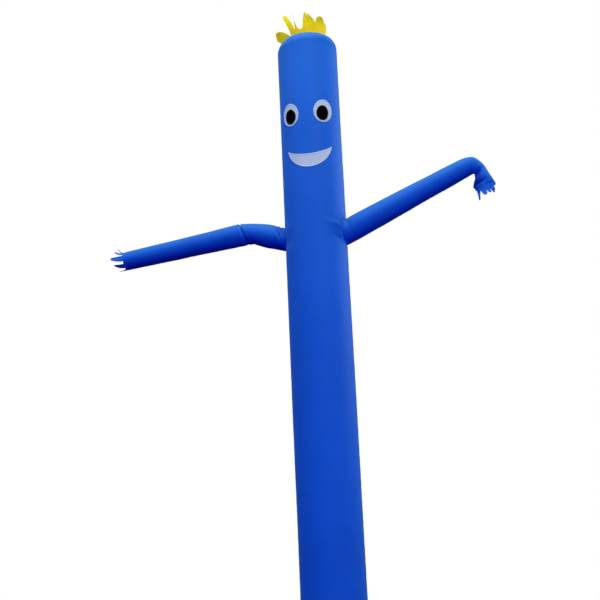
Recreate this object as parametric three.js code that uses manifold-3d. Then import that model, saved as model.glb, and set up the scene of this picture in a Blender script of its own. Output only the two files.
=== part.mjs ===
import Module from 'manifold-3d';
import * as THREE from 'three';
import { mergeVertices } from 'three/addons/utils/BufferGeometryUtils.js';

// A blown-up tube figure of thin cloth that an air blower under its hem keeps standing.
// Lengths are millimetres and angles degrees. Z is up, the face looks along -Y, and the
// figure's left arm in a viewer's eyes reaches along -X.

// Driving dimensions of the trunk
const tubeRadius = 232;
const trunkHeight = 5840;
const clothThickness = 2.5;
const hemThickness = 5;
const hemHeight = 60;
const hemTaper = 12;
const seamGap = 0.3;
const tubeSides = 40;

// The crown closes in from the tube's full width to the vent, which lies a little towards +X
const crownRise = 107;
const crownFullness = 0.92;
const ventRadius = 124;
const ventShift = 12;
const crownSteps = 5;

// Sleeves, with holes in the trunk a little narrower than their bores
const sleeveSides = 20;
const sleeveHoleLip = 2;

// Cut strips: fingers on narrow bands at the sleeve ends, and the hair round the vent
const fingerThickness = 2;
const fingerBandHeight = 12;
const hairThickness = 2;
const hairBandThickness = 3;
const hairBandHeight = 50;
const hairBandFlare = 14;
const rootOverlap = 7;
const strandSteps = 5;

// Face patches, sewn flat on the front panel; arc is measured round the tube from -Y, and
// slope raises a patch's side towards +X
const patchThickness = 1.5;
const patchSides = 28;
const patchMargin = 10;
const eyeWidth = 155;
const eyeHeight = 186;
const pupilWidth = 98;
const pupilHeight = 124;
const eyes = [
  { name: 'left', arc: -132, height: 5236, slope: -0.17, pupilArc: 6, pupilRise: -17 },
  { name: 'right', arc: 140, height: 5242, slope: 0.15, pupilArc: -6, pupilRise: -17 },
];
const mouth = {
  arc: 16,
  height: 4947,
  slope: 0.045,
  halfWidth: 183,
  upperDip: 60,
  lowerDip: 166,
  fullness: 0.7,
  steps: 14,
};

// Heights of the trunk's cross sections above the hem, close together where the arms pull
const trunkLevels = [3900, 4060, 4130, 4180, 4220, 4260, 4300, 4345, 4395, 4460, 4560, 4720];

// Soft folds where the arms pull on the trunk. A fold's length runs round the tube, turned
// by slope; depth is positive for a trough and negative for a ridge.
const trunkFolds = [
  { angle: 58, height: 4236, slope: -14, length: 58, width: 22, depth: 11 },
  { angle: 50, height: 4338, slope: -6, length: 72, width: 22, depth: -7 },
  { angle: -60, height: 4225, slope: 20, length: 60, width: 26, depth: 5 },
  { angle: -52, height: 4345, slope: 8, length: 60, width: 34, depth: -3 },
  { angle: 128, height: 4235, slope: 15, length: 80, width: 30, depth: 7 },
  { angle: -126, height: 4230, slope: -16, length: 70, width: 32, depth: 7 },
];

// Cross sections of each sleeve: reach from the trunk's middle, height, lean of the
// section's top away from the trunk, its half sizes, how far it hangs back, its twist and
// the rings up to the next row.
const rightSleeveRows = [
  { reach: 150, height: 4281, lean: -24, tall: 92, deep: 92, back: 0, twist: 0, steps: 1 },
  { reach: 237, height: 4320, lean: -24, tall: 92, deep: 92, back: 0, twist: 0, steps: 3 },
  { reach: 289, height: 4343, lean: -24, tall: 92, deep: 92, back: 0, twist: 0, steps: 1 },
  { reach: 431, height: 4408, lean: -24, tall: 90, deep: 90, back: 0, twist: 0, steps: 1 },
  { reach: 624, height: 4495, lean: -24, tall: 86, deep: 86, back: 0, twist: 0, steps: 1 },
  { reach: 818, height: 4582, lean: -24, tall: 80, deep: 81, back: 0, twist: 0, steps: 1 },
  { reach: 1011, height: 4667, lean: -25, tall: 76, deep: 78, back: 0, twist: 0, steps: 1 },
  { reach: 1131, height: 4721, lean: -27, tall: 72, deep: 74, back: 0, twist: 0, steps: 2 },
  { reach: 1183, height: 4739, lean: -11, tall: 67, deep: 70, back: 0, twist: 0, steps: 1 },
  { reach: 1213, height: 4740, lean: 3, tall: 63, deep: 66, back: 2, twist: 4, steps: 1 },
  { reach: 1234, height: 4728, lean: 21, tall: 59, deep: 62, back: 7, twist: 16, steps: 1 },
  { reach: 1249, height: 4702, lean: 41, tall: 60, deep: 55, back: 16, twist: 30, steps: 1 },
  { reach: 1256, height: 4673, lean: 54, tall: 70, deep: 47, back: 24, twist: 38, steps: 1 },
  { reach: 1262, height: 4630, lean: 67, tall: 85, deep: 38, back: 26, twist: 40, steps: 1 },
  { reach: 1270, height: 4600, lean: 82, tall: 93, deep: 31, back: 18, twist: 36, steps: 1 },
  { reach: 1287, height: 4570, lean: 89, tall: 88, deep: 26, back: 8, twist: 30, steps: 0 },
];
const leftUpperRows = [
  { reach: 150, height: 4281, lean: -17, tall: 86, deep: 86, back: 0, twist: 0, steps: 1 },
  { reach: 235, height: 4309, lean: -17, tall: 86, deep: 86, back: 0, twist: 0, steps: 4 },
  { reach: 300, height: 4331, lean: -14, tall: 88, deep: 87, back: 0, twist: 0, steps: 1 },
  { reach: 370, height: 4352, lean: -8, tall: 90, deep: 87, back: 0, twist: 0, steps: 1 },
  { reach: 440, height: 4370, lean: 2, tall: 86, deep: 85, back: 0, twist: 0, steps: 1 },
  { reach: 486, height: 4379, lean: 15, tall: 87, deep: 84, back: 0, twist: 0, steps: 1 },
  { reach: 524, height: 4385, lean: 27, tall: 91, deep: 83, back: 0, twist: 0, steps: 1 },
  { reach: 549, height: 4386, lean: 18, tall: 88, deep: 82, back: 0, twist: 0, steps: 0 },
];
const leftForeRows = [
  { reach: 549, height: 4386, lean: 18, tall: 88, deep: 82, back: 0, twist: 0, steps: 1 },
  { reach: 595, height: 4381, lean: 14, tall: 87, deep: 83, back: 0, twist: 0, steps: 1 },
  { reach: 650, height: 4374, lean: 9, tall: 85, deep: 83, back: 0, twist: 0, steps: 1 },
  { reach: 765, height: 4359, lean: 8, tall: 82, deep: 81, back: 0, twist: 0, steps: 1 },
  { reach: 962, height: 4334, lean: 7, tall: 78, deep: 78, back: 0, twist: 0, steps: 1 },
  { reach: 1229, height: 4301, lean: 7, tall: 75, deep: 75, back: 0, twist: 0, steps: 1 },
  { reach: 1440, height: 4275, lean: 7, tall: 72, deep: 72, back: 0, twist: 0, steps: 1 },
  { reach: 1485, height: 4269, lean: 7, tall: 69, deep: 69, back: 0, twist: 0, steps: 0 },
];

// Creases of the sleeves: their place by reach and height, their place around the sleeve
// (0 at a section's top, 90 in front), half length along it, half turn round it and depth.
const rightCreases = [
  { reach: 262, height: 4332, around: 60, length: 11, turn: 40, depth: 5 },
  { reach: 1236, height: 4723, around: 95, length: 12, turn: 75, depth: 20 },
  { reach: 1250, height: 4697, around: 108, length: 18, turn: 60, depth: 27 },
  { reach: 1272, height: 4605, around: 105, length: 12, turn: 60, depth: 14 },
  { reach: 1288, height: 4570, around: 55, length: 20, turn: 22, depth: 9 },
  { reach: 1262, height: 4652, around: 270, length: 20, turn: 50, depth: 9 },
];
const leftUpperCreases = [
  { reach: 254, height: 4315, around: 75, length: 8, turn: 45, depth: 8 },
  { reach: 276, height: 4322, around: 95, length: 8, turn: 38, depth: 7 },
  { reach: 268, height: 4320, around: 265, length: 9, turn: 45, depth: 4 },
];

// Strips. Around is the place on the band, and length runs straight out of it. Seen from
// outside with the root down, sway bends the tip to the right, flop bends it towards the
// viewer and twist turns it about its length. Belly widens or narrows the middle.
const rightFingers = [
  { around: 122, width: 58, belly: -14, tip: 26, length: 94, sway: -4, flop: 3, twist: 20 },
  { around: 95, width: 44, belly: 8, tip: 22, length: 72, sway: -34, flop: 9, twist: -10 },
  { around: 70, width: 34, belly: 3, tip: 15, length: 62, sway: -26, flop: 3, twist: -15 },
  { around: 44, width: 38, belly: 6, tip: 22, length: 56, sway: -20, flop: 5, twist: 20 },
  { around: 300, width: 34, belly: 2, tip: 12, length: 48, sway: 14, flop: 5, twist: 10 },
];
const leftFingers = [
  { around: 12, width: 30, belly: 0, tip: 14, length: 40, sway: 2, flop: 38, twist: 30 },
  { around: 47, width: 30, belly: -3, tip: 13, length: 60, sway: 26, flop: 14, twist: -30 },
  { around: 86, width: 46, belly: 8, tip: 20, length: 92, sway: 10, flop: 8, twist: 10 },
  { around: 138, width: 38, belly: 6, tip: 14, length: 70, sway: 26, flop: 6, twist: -15 },
  { around: 225, width: 38, belly: 4, tip: 12, length: 74, sway: -10, flop: 8, twist: 20 },
];
const hairLocks = [
  { around: -50, width: 64, belly: -2, tip: 34, length: 150, sway: -30, flop: 18, twist: 46 },
  { around: -30, width: 46, belly: -24, tip: 4, length: 128, sway: -8, flop: -4, twist: -50 },
  { around: 6, width: 62, belly: -6, tip: 6, length: 128, sway: -8, flop: 0, twist: 8 },
  { around: 27, width: 62, belly: 8, tip: 8, length: 104, sway: -52, flop: 4, twist: -10 },
  { around: 53, width: 62, belly: 18, tip: 28, length: 86, sway: -40, flop: 12, twist: -20 },
  { around: 79, width: 62, belly: 16, tip: 16, length: 58, sway: -36, flop: 0, twist: -20 },
  { around: 107, width: 52, belly: 6, tip: 8, length: 52, sway: -10, flop: -4, twist: 0 },
  { around: 136, width: 54, belly: 8, tip: 7, length: 64, sway: -12, flop: 14, twist: -20 },
  { around: 163, width: 54, belly: 4, tip: 8, length: 92, sway: 10, flop: 10, twist: 15 },
  { around: 190, width: 54, belly: 8, tip: 9, length: 60, sway: -14, flop: 18, twist: 0 },
  { around: 217, width: 54, belly: 10, tip: 12, length: 84, sway: 14, flop: 28, twist: 25 },
  { around: 246, width: 58, belly: 30, tip: 94, length: 92, sway: 6, flop: 134, twist: 46 },
  { around: 274, width: 50, belly: 2, tip: 12, length: 34, sway: -6, flop: 14, twist: 0 },
];

// Finishes
const blueCloth = new THREE.MeshStandardMaterial({ color: 0x1b57cc, roughness: 0.6, metalness: 0 });
const whiteCloth = new THREE.MeshStandardMaterial({ color: 0xb4bbe0, roughness: 0.6, metalness: 0 });
const blackCloth = new THREE.MeshStandardMaterial({ color: 0x08070d, roughness: 0.6, metalness: 0 });
const yellowCloth = new THREE.MeshStandardMaterial({ color: 0xcdc82d, roughness: 0.6, metalness: 0 });

const wasm = await Module();
wasm.setup();

const radians = THREE.MathUtils.degToRad;

// Solids from points and triangles

function signedVolume(points, triangles) {
  const cross = new THREE.Vector3();
  const volumes = triangles.map(([a, b, c]) => points[a].dot(cross.crossVectors(points[b], points[c])));
  return volumes.reduce((sum, volume) => sum + volume, 0) / 6;
}

function closedGeometry(points, triangles) {
  const outward = signedVolume(points, triangles) > 0;
  const index = triangles.flatMap(([a, b, c]) => (outward ? [a, b, c] : [a, c, b]));
  const geometry = new THREE.BufferGeometry().setFromPoints(points);
  geometry.setIndex(index);
  return geometry;
}

function quad(a, b, c, d) {
  return [[a, b, c], [a, c, d]];
}

// Triangles between neighbouring rings of equal point counts, from a first ring number
function sideTriangles(ringCount, sides, first) {
  const triangles = [];
  for (let ring = first; ring < first + ringCount - 1; ring += 1) {
    for (let side = 0; side < sides; side += 1) {
      const next = (side + 1) % sides;
      const low = ring * sides;
      const high = low + sides;
      triangles.push(...quad(low + side, low + next, high + next, high + side));
    }
  }
  return triangles;
}

// A solid through rings of points, closed by a flat cap at both ends
function solidThrough(rings) {
  const sides = rings[0].length;
  const last = (rings.length - 1) * sides;
  const triangles = sideTriangles(rings.length, sides, 0);
  for (let side = 1; side < sides - 1; side += 1) {
    triangles.push([0, side + 1, side], [last, last + side, last + side + 1]);
  }
  return closedGeometry(rings.flat(), triangles);
}

// An open tube: an outer and an inner skin joined at both rims
function wallThrough(outerRings, innerRings) {
  const sides = outerRings[0].length;
  const count = outerRings.length;
  const outer = sideTriangles(count, sides, 0);
  const inner = sideTriangles(count, sides, count).map(([a, b, c]) => [a, c, b]);
  const rims = [];
  for (let side = 0; side < sides; side += 1) {
    const next = (side + 1) % sides;
    const innerLow = count * sides;
    const outerHigh = (count - 1) * sides;
    const innerHigh = innerLow + outerHigh;
    rims.push(...quad(innerLow + side, innerLow + next, next, side));
    rims.push(...quad(outerHigh + side, outerHigh + next, innerHigh + next, innerHigh + side));
  }
  return closedGeometry([...outerRings.flat(), ...innerRings.flat()], [...outer, ...inner, ...rims]);
}

// Joining and cutting

function toManifold(geometry) {
  const bare = geometry.clone();
  bare.deleteAttribute('normal');
  bare.deleteAttribute('uv');
  const merged = mergeVertices(bare);
  const mesh = new wasm.Mesh({
    numProp: 3,
    vertProperties: merged.attributes.position.array,
    triVerts: Uint32Array.from(merged.index.array),
  });
  return new wasm.Manifold(mesh);
}

function toGeometry(manifold) {
  const mesh = manifold.getMesh();
  const geometry = new THREE.BufferGeometry();
  geometry.setAttribute('position', new THREE.BufferAttribute(mesh.vertProperties, 3));
  geometry.setIndex(new THREE.BufferAttribute(mesh.triVerts, 1));
  return geometry;
}

function cut(geometry, ...tools) {
  return toGeometry(tools.reduce((left, tool) => left.subtract(toManifold(tool)), toManifold(geometry)));
}

function overlapOf(geometry, tool) {
  return toGeometry(toManifold(geometry).intersect(toManifold(tool)));
}

function join(geometries) {
  return toGeometry(geometries.map(toManifold).reduce((sum, part) => sum.add(part)));
}

// Trunk

function onTube(angle, radius, height) {
  const turn = radians(angle);
  return new THREE.Vector3(radius * Math.sin(turn), -radius * Math.cos(turn), height);
}

function tubeRing(radius, height) {
  return Array.from({ length: tubeSides }, (_, side) => onTube((360 * side) / tubeSides, radius, height));
}

function bump(x, y) {
  return Math.exp(-x * x - y * y);
}

// The short way round from one angle to another
function turnBetween(from, to) {
  return ((to - from + 540) % 360) - 180;
}

function trunkFoldDepth(angle, height) {
  return trunkFolds.reduce((depth, fold) => {
    const round = radians(turnBetween(fold.angle, angle)) * tubeRadius;
    const rise = height - fold.height;
    const cos = Math.cos(radians(fold.slope));
    const sin = Math.sin(radians(fold.slope));
    const along = (round * cos + rise * sin) / fold.length;
    const across = (rise * cos - round * sin) / fold.width;
    return depth + fold.depth * bump(along, across);
  }, 0);
}

function trunkRing(height, inset) {
  const points = [];
  for (let side = 0; side < tubeSides; side += 1) {
    const angle = (360 * side) / tubeSides;
    points.push(onTube(angle, tubeRadius - trunkFoldDepth(angle, height) - inset, height));
  }
  return points;
}

function trunkWall() {
  const heights = [0, hemHeight, hemHeight + hemTaper, ...trunkLevels, trunkHeight];
  const thickness = (height) => (height <= hemHeight ? hemThickness : clothThickness);
  return wallThrough(
    heights.map((height) => trunkRing(height, 0)),
    heights.map((height) => trunkRing(height, thickness(height))),
  );
}

// The trunk's outside, grown by a gap, as a full solid that trims what is sewn to it
function trunkBody(grown) {
  const heights = [0, ...trunkLevels, trunkHeight];
  return solidThrough(heights.map((height) => trunkRing(height, -grown)));
}

// A box over the front or back half of the tube, half a seam gap away from the side seams
function halfSpace(facing) {
  const depth = 2 * tubeRadius;
  const box = new THREE.BoxGeometry(4 * tubeRadius, depth, 3 * trunkHeight);
  return box.translate(0, (facing * (depth + seamGap)) / 2, 0);
}

function crownWall() {
  const ring = (step, inset) => {
    const turn = (step / crownSteps) * (Math.PI / 2);
    const closing = (tubeRadius - ventRadius) * Math.cos(turn) ** crownFullness;
    const radius = ventRadius + closing - inset * Math.cos(turn / 2);
    const height = trunkHeight + seamGap + (crownRise - inset) * Math.sin(turn) ** crownFullness;
    return tubeRing(radius, height).map((point) => point.setX(point.x + ventShift * Math.sin(turn)));
  };
  const steps = Array.from({ length: crownSteps + 1 }, (_, step) => step);
  return wallThrough(
    steps.map((step) => ring(step, 0)),
    steps.map((step) => ring(step, clothThickness)),
  );
}

// Sleeves

function blend(before, from, to, after, share) {
  const smooth = share * share;
  const cubic = smooth * share;
  const slopeFrom = (to - before) / 2;
  const slopeTo = (after - from) / 2;
  const places = (2 * cubic - 3 * smooth + 1) * from + (3 * smooth - 2 * cubic) * to;
  const slopes = (cubic - 2 * smooth + share) * slopeFrom + (cubic - smooth) * slopeTo;
  return places + slopes;
}

function sectionsOf(rows) {
  const row = (number) => rows[THREE.MathUtils.clamp(number, 0, rows.length - 1)];
  const columns = ['reach', 'height', 'lean', 'tall', 'deep', 'back', 'twist'];
  const sections = rows.flatMap((from, number) => Array.from({ length: from.steps }, (_, step) => {
    const share = step / from.steps;
    const values = columns.map((column) => blend(
      row(number - 1)[column],
      from[column],
      row(number + 1)[column],
      row(number + 2)[column],
      share,
    ));
    return Object.fromEntries(columns.map((column, place) => [column, values[place]]));
  }));
  return [...sections, row(rows.length)];
}

function creaseDepth(section, around, creases) {
  return creases.reduce((depth, crease) => {
    const away = Math.hypot(section.reach - crease.reach, section.height - crease.height);
    const turn = turnBetween(crease.around, around);
    return depth + crease.depth * bump(away / crease.length, turn / crease.turn);
  }, 0);
}

function sleeveFrame(section, side) {
  const lean = radians(section.lean);
  return {
    middle: new THREE.Vector3(side * section.reach, section.back, section.height),
    up: new THREE.Vector3(side * Math.sin(lean), 0, Math.cos(lean)),
    front: new THREE.Vector3(0, -1, 0),
    outward: new THREE.Vector3(side * Math.cos(lean), 0, -Math.sin(lean)),
  };
}

function sleevePoint(section, side, around, inset) {
  const frame = sleeveFrame(section, side);
  const turn = radians(around);
  const place = new THREE.Vector2(
    (section.tall - inset) * Math.cos(turn),
    (section.deep - inset) * Math.sin(turn),
  ).rotateAround(new THREE.Vector2(), radians(section.twist));
  return frame.middle.clone().addScaledVector(frame.up, place.x).addScaledVector(frame.front, place.y);
}

function sleeveRing(section, side, creases, inset) {
  return Array.from({ length: sleeveSides }, (_, number) => {
    const around = (360 * number) / sleeveSides;
    return sleevePoint(section, side, around, inset + creaseDepth(section, around, creases));
  });
}

function sleeveWall(rows, side, creases) {
  const sections = sectionsOf(rows);
  return wallThrough(
    sections.map((section) => sleeveRing(section, side, creases, 0)),
    sections.map((section) => sleeveRing(section, side, creases, clothThickness)),
  );
}

// The air's way through the trunk's side into a sleeve
function sleeveHole(rows, side) {
  const inset = clothThickness + sleeveHoleLip;
  return solidThrough(rows.slice(0, 3).map((section) => sleeveRing(section, side, [], inset)));
}

// Two neighbouring rows moved apart by a seam gap, across their shared section
function shifted(section, distance) {
  const lean = radians(section.lean);
  const reach = section.reach + distance * Math.cos(lean);
  const height = section.height - distance * Math.sin(lean);
  return { ...section, reach, height };
}

// Cut strips

// A four-sided strip that leaves its root along one direction, with another one facing out
function stripGeometry(root, along, facing, strip, thickness) {
  const across = new THREE.Vector3().crossVectors(along, facing).normalize();
  const rings = [];
  for (let step = 0; step <= strandSteps; step += 1) {
    const share = step / strandSteps;
    const bend = share * share;
    const middle = root.clone()
      .addScaledVector(along, strip.length * share)
      .addScaledVector(across, strip.sway * bend)
      .addScaledVector(facing, strip.flop * bend);
    const heading = along.clone().multiplyScalar(strip.length)
      .addScaledVector(across, 2 * strip.sway * share)
      .addScaledVector(facing, 2 * strip.flop * share)
      .normalize();
    const wide = across.clone().addScaledVector(heading, -across.dot(heading)).normalize();
    wide.applyAxisAngle(heading, radians(strip.twist * share));
    const normal = new THREE.Vector3().crossVectors(wide, heading);
    const belly = 4 * strip.belly * share * (1 - share);
    wide.multiplyScalar((strip.width * (1 - share) + strip.tip * share + belly) / 2);
    normal.multiplyScalar(thickness / 2);
    const corner = (x, y) => middle.clone().addScaledVector(wide, x).addScaledVector(normal, y);
    rings.push([corner(-1, -1), corner(1, -1), corner(1, 1), corner(-1, 1)]);
  }
  return solidThrough(rings);
}

// A narrow band past a sleeve's end, with the fingers' roots sunk into it
function fingers(rows, side, strips) {
  const end = shifted(rows[rows.length - 1], seamGap);
  const far = shifted(end, fingerBandHeight);
  const band = wallThrough(
    [end, far].map((section) => sleeveRing(section, side, [], 0)),
    [end, far].map((section) => sleeveRing(section, side, [], clothThickness)),
  );
  const { up, front, outward } = sleeveFrame(end, side);
  const strands = strips.map((strip) => {
    const turn = radians(strip.around);
    const root = sleevePoint(shifted(far, -rootOverlap), side, strip.around, clothThickness / 2);
    const slant = new THREE.Vector2(Math.cos(turn) / end.tall, Math.sin(turn) / end.deep)
      .rotateAround(new THREE.Vector2(), radians(end.twist));
    const facing = up.clone().multiplyScalar(slant.x).addScaledVector(front, slant.y);
    return stripGeometry(root, outward, facing.normalize(), strip, fingerThickness);
  });
  return join([band, ...strands]);
}

function hair() {
  const low = trunkHeight + seamGap + crownRise + seamGap;
  const high = low + hairBandHeight;
  const outerTop = ventRadius + hairBandFlare;
  const band = wallThrough(
    [tubeRing(ventRadius, low), tubeRing(outerTop, high)],
    [tubeRing(ventRadius - hairBandThickness, low), tubeRing(outerTop - hairBandThickness, high)],
  );
  const slope = Math.atan2(hairBandFlare, hairBandHeight);
  const locks = hairLocks.map((lock) => {
    const root = onTube(lock.around, outerTop - hairBandThickness, high - rootOverlap);
    const along = onTube(lock.around, Math.sin(slope), Math.cos(slope));
    return stripGeometry(root, along, onTube(lock.around, 1, 0), lock, hairThickness);
  });
  return join([band, ...locks]).translate(ventShift, 0, 0);
}

// Face patches

// A skin round the tube at a distance from it, over a span of heights
function skin(distance, low, high) {
  const inner = tubeRadius + distance;
  const outer = inner + patchThickness;
  return wallThrough(
    [tubeRing(outer, low), tubeRing(outer, high)],
    [tubeRing(inner, low), tubeRing(inner, high)],
  );
}

// A patch with an outline of [arc, rise] points about its middle, cut from a skin
function patch(outline, arc, height, distance) {
  const points = outline.map(([x, y]) => new THREE.Vector2(tubeRadius * Math.sin(x / tubeRadius), y));
  const reach = Math.max(...outline.map(([, y]) => Math.abs(y))) + patchMargin;
  const block = new THREE.ExtrudeGeometry(new THREE.Shape(points), {
    depth: 2 * tubeRadius,
    bevelEnabled: false,
  });
  block.rotateX(Math.PI / 2).rotateZ(arc / tubeRadius).translate(0, 0, height);
  return overlapOf(skin(distance, height - reach, height + reach), block);
}

function oval(width, height, slope) {
  return Array.from({ length: patchSides }, (_, side) => {
    const turn = (2 * Math.PI * side) / patchSides;
    const across = (width / 2) * Math.cos(turn);
    return [across, (height / 2) * Math.sin(turn) + slope * across];
  });
}

// A smile: two curved edges that meet at the corners, the lower one fuller than a parabola
function crescent({ halfWidth, slope, upperDip, lowerDip, fullness, steps }) {
  const lower = Array.from({ length: steps + 1 }, (_, step) => {
    const turn = (Math.PI * step) / steps;
    return [-halfWidth * Math.cos(turn), -lowerDip * Math.sin(turn) ** (2 * fullness)];
  });
  const upper = Array.from({ length: steps - 1 }, (_, step) => {
    const share = 1 - (2 * (step + 1)) / steps;
    return [halfWidth * share, upperDip * (share * share - 1)];
  });
  return [...lower, ...upper].map(([across, up]) => [across, up + slope * across]);
}

// The figure

function piece(name, geometry, material) {
  const mesh = new THREE.Mesh(geometry, material);
  mesh.name = name;
  return mesh;
}

const left = -1;
const right = 1;
const facingFront = -1;
const facingBack = 1;

function trunk() {
  const wall = cut(trunkWall(), sleeveHole(rightSleeveRows, right), sleeveHole(leftUpperRows, left));
  const group = new THREE.Group();
  group.add(piece('trunk_front', overlapOf(wall, halfSpace(facingFront)), blueCloth));
  group.add(piece('trunk_back', overlapOf(wall, halfSpace(facingBack)), blueCloth));
  group.add(piece('crown', crownWall(), blueCloth));
  return group;
}

function arms() {
  const body = trunkBody(seamGap);
  const elbow = leftUpperRows.length - 1;
  const upperRows = leftUpperRows.with(elbow, shifted(leftUpperRows[elbow], -seamGap / 2));
  const foreRows = leftForeRows.with(0, shifted(leftForeRows[0], seamGap / 2));
  const rightSleeve = cut(sleeveWall(rightSleeveRows, right, rightCreases), body);
  const leftUpper = cut(sleeveWall(upperRows, left, leftUpperCreases), body);
  const group = new THREE.Group();
  group.add(piece('sleeve_right', rightSleeve, blueCloth));
  group.add(piece('fingers_right', fingers(rightSleeveRows, right, rightFingers), blueCloth));
  group.add(piece('sleeve_left_upper', leftUpper, blueCloth));
  group.add(piece('sleeve_left_fore', sleeveWall(foreRows, left, []), blueCloth));
  group.add(piece('fingers_left', fingers(leftForeRows, left, leftFingers), blueCloth));
  return group;
}

function face() {
  const group = new THREE.Group();
  const onPatch = seamGap + patchThickness + seamGap;
  for (const eye of eyes) {
    const white = patch(oval(eyeWidth, eyeHeight, eye.slope), eye.arc, eye.height, seamGap);
    const pupil = patch(
      oval(pupilWidth, pupilHeight, eye.slope),
      eye.arc + eye.pupilArc,
      eye.height + eye.pupilRise,
      onPatch,
    );
    group.add(piece(`eye_${eye.name}`, white, whiteCloth));
    group.add(piece(`pupil_${eye.name}`, pupil, blackCloth));
  }
  group.add(piece('mouth', patch(crescent(mouth), mouth.arc, mouth.height, seamGap), whiteCloth));
  return group;
}

const dancer = new THREE.Group();
dancer.add(trunk(), arms(), face(), piece('hair', hair(), yellowCloth));

// The origin lies on the floor under the middle of the whole figure
const middle = new THREE.Box3().setFromObject(dancer).getCenter(new THREE.Vector3());
dancer.position.x = -middle.x;

export default dancer;
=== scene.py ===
from math import atan2, cos, degrees, exp, hypot, pi, radians, sin, sqrt

import bmesh
import bpy
from mathutils import Matrix, Vector, noise


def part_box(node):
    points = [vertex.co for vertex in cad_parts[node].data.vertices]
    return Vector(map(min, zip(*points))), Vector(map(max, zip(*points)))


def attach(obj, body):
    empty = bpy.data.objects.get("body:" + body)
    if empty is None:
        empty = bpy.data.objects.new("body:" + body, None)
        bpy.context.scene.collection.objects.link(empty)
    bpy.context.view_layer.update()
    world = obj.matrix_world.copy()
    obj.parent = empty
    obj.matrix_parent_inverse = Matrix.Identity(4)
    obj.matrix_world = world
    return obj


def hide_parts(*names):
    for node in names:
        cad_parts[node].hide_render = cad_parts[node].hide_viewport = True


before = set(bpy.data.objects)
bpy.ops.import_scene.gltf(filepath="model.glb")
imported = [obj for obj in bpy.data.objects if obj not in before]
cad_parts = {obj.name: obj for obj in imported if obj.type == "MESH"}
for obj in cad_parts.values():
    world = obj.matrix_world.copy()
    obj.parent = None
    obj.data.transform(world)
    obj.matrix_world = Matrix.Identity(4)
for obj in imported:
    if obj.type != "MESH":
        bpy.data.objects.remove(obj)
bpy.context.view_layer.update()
bpy.ops.object.select_all(action="DESELECT")

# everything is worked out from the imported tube: metres, z up, the face looks along -y
crownLow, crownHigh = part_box("crown")
axisX = (crownLow.x + crownHigh.x) / 2
tubeRadius = (crownHigh.x - crownLow.x) / 2
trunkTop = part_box("trunk_front")[1].z
seamGap = crownLow.z - trunkTop
print("frame loaded, tube", round(tubeRadius * 2, 3), "m wide")


# small helpers used by several pieces

class Values:  # named values that belong together
    def __init__(self, **given):
        for name, value in given.items():
            setattr(self, name, value)


def named(columns, rows):  # one set of named values for each row
    return [Values(**dict(zip(columns, row))) for row in rows]


def sharesOf(count):  # evenly spread shares, 0 and 1 both kept
    return [number / count for number in range(count + 1)]


def ringOf(sides):  # places round a tube, in degrees
    return [360 * number / sides for number in range(sides)]


def bell(x, y=0.0):
    return exp(-x * x - y * y)


def turnBetween(start, end):  # the short way round, in degrees
    return (end - start + 540) % 360 - 180


def steps(start, end, spacing):  # evenly spread values, both ends kept
    count = max(1, round(abs(end - start) / spacing))
    return [start + (end - start) * number / count for number in range(count + 1)]


def ruffle(place, scale, seed):  # smooth seeded unevenness, about -1 to 1
    return noise.noise(Vector(place) * scale + Vector((seed, seed * 0.37, -seed)))


def onTube(angle, radius, height):  # angle runs from the front towards +x
    turn = radians(angle)
    return Vector((axisX + radius * sin(turn), -radius * cos(turn), height))


def ringPlace(angle, along=0.0):  # a place on a unit tube, for unevenness that closes up
    return cos(radians(angle)), sin(radians(angle)), along


# shader boards: sockets that take part in sums, and one method for every node

class Wire:
    def __init__(self, board, socket):
        self.board = board
        self.socket = socket

    def sum(self, operation, first, second):
        return self.board.node("Math", {"operation": operation}, {0: first, 1: second})

    def __add__(self, other):
        return self.sum("ADD", self, other)

    def __radd__(self, other):
        return self.sum("ADD", other, self)

    def __sub__(self, other):
        return self.sum("SUBTRACT", self, other)

    def __mul__(self, other):
        return self.sum("MULTIPLY", self, other)

    def __rmul__(self, other):
        return self.sum("MULTIPLY", other, self)

    def most(self, other):
        return self.sum("MAXIMUM", self, other)

    def swing(self, reach):  # distance to the nearest multiple of twice the reach
        return self.sum("PINGPONG", self, reach)


class Board:
    def __init__(self, tree):
        self.tree = tree
        tree.nodes.clear()

    def node(self, kind, settings=None, sockets=None, out=0):
        made = self.tree.nodes.new("ShaderNode" + kind)
        for name, value in (settings or {}).items():
            if name == "stops":
                self.setStops(made.color_ramp, value)
            else:
                setattr(made, name, value)
        for name, value in (sockets or {}).items():
            if isinstance(value, Wire):
                self.tree.links.new(value.socket, made.inputs[name])
            else:
                made.inputs[name].default_value = value
        return Wire(self, made.outputs[out]) if made.outputs else made

    def setStops(self, ramp, stops):
        while len(ramp.elements) < len(stops):
            ramp.elements.new(0.5)
        for element, (place, colour) in zip(ramp.elements, stops):
            element.position = place
            element.color = (*colour, 1)

    def fade(self, value, low, high):  # 0 at low, 1 at high, smooth between
        settings = {"interpolation_type": "SMOOTHSTEP"}
        return self.node("MapRange", settings, {"Value": value, 1: low, 2: high})

    def mix(self, share, first, second):
        sockets = {0: share, 6: self.paint(first), 7: self.paint(second)}
        return self.node("Mix", {"data_type": "RGBA"}, sockets, out=2)

    def paint(self, colour):
        return colour if isinstance(colour, Wire) else (*colour, 1)

    def objectPlace(self):
        return self.node("TexCoord", {}, {}, out=3)

    def split(self, vector):  # its three parts
        outputs = self.node("SeparateXYZ", {}, {0: vector}).socket.node.outputs
        return [Wire(self, output) for output in outputs]

    def noise(self, place, scale, detail):
        sockets = {"Vector": place, "Scale": scale, "Detail": detail}
        return self.node("TexNoise", {}, sockets)


# finishes

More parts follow.
